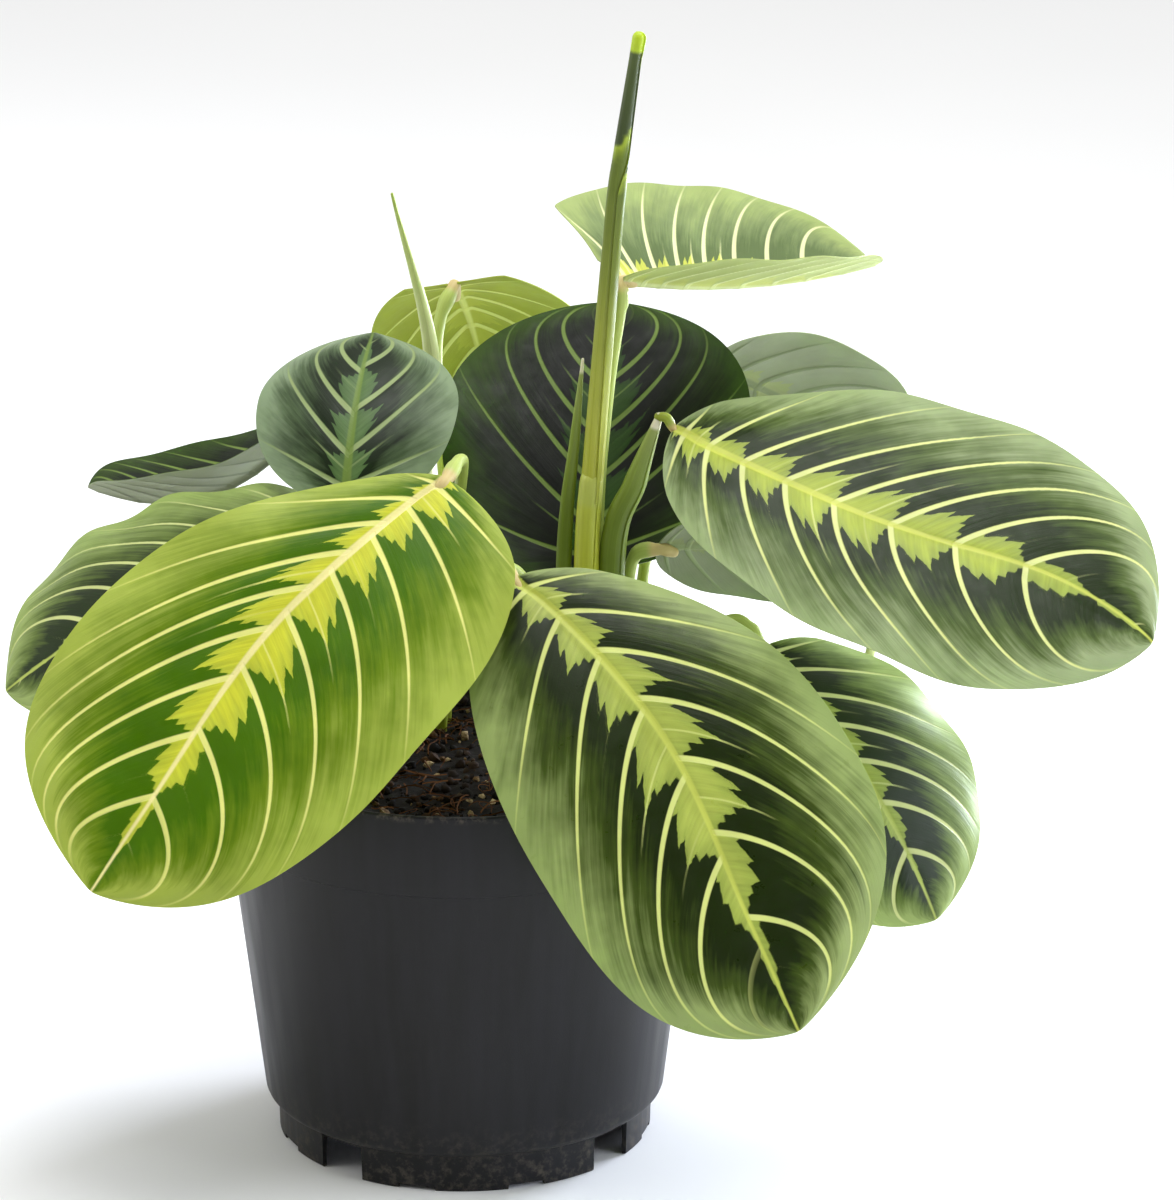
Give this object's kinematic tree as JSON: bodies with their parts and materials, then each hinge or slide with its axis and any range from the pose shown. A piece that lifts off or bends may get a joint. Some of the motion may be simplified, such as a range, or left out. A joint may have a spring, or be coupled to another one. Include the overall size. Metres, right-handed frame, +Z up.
{
  "type": "potted prayer plant",
  "caption": "Young prayer plant with lime-ribbed oval leaves on thin stalks, one tall rolled new leaf and soil, in a round dark nursery pot with a notched foot.",
  "frame": {"origin": "middle of the whole plant's footprint, on the surface the pot stands on", "axes": "+Z up along the pot's axis, -Y the side the plant is seen from, +X to its right; the pot's axis stands 27.8 mm towards -X and 4.8 mm towards -Y from the origin"},
  "size_m": [0.2733, 0.1873, 0.2732],
  "materials": {
    "pot_plastic": "moulded satin",
    "potting_mix": "loose fibrous",
    "leaf_lime": "satin with lime ribs and pale veins",
    "leaf_dark": "satin with lime ribs and pale veins",
    "leaf_grey": "satin with a grey sheen",
    "rolled_leaf": "satin",
    "stalk_green": "smooth satin",
    "pale_shoot": "smooth satin"
  },
  "bodies": {
    "root": {"pot": "pot_plastic", "soil": "potting_mix", "leaf_front_left": "leaf_lime", "leaf_front_centre": "leaf_dark", "leaf_right": "leaf_grey", "leaf_back_centre": "leaf_dark", "leaf_upper_right": "leaf_grey", "leaf_left_small": "leaf_dark", "leaf_back_left": "leaf_lime", "leaf_far_left": "leaf_dark", "leaf_left_low": "leaf_dark", "leaf_back_right": "leaf_grey", "leaf_right_inner": "leaf_grey", "leaf_right_low": "leaf_dark", "stalk_front_left": "stalk_green", "stalk_front_centre": "stalk_green", "stalk_right": "stalk_green", "stalk_back_centre": "stalk_green", "stalk_upper_right": "stalk_green", "stalk_left_small": "stalk_green", "stalk_back_left": "stalk_green", "stalk_far_left": "stalk_green", "stalk_left_low": "stalk_green", "stalk_back_right": "stalk_green", "stalk_right_inner": "stalk_green", "stalk_right_low": "stalk_green", "shoot_stem": "stalk_green", "leaf_rolled": "rolled_leaf", "sheath_left": "stalk_green", "sheath_right": "stalk_green", "shoot_left": "pale_shoot", "shoot_right": "pale_shoot"}
  },
  "joints": []
}
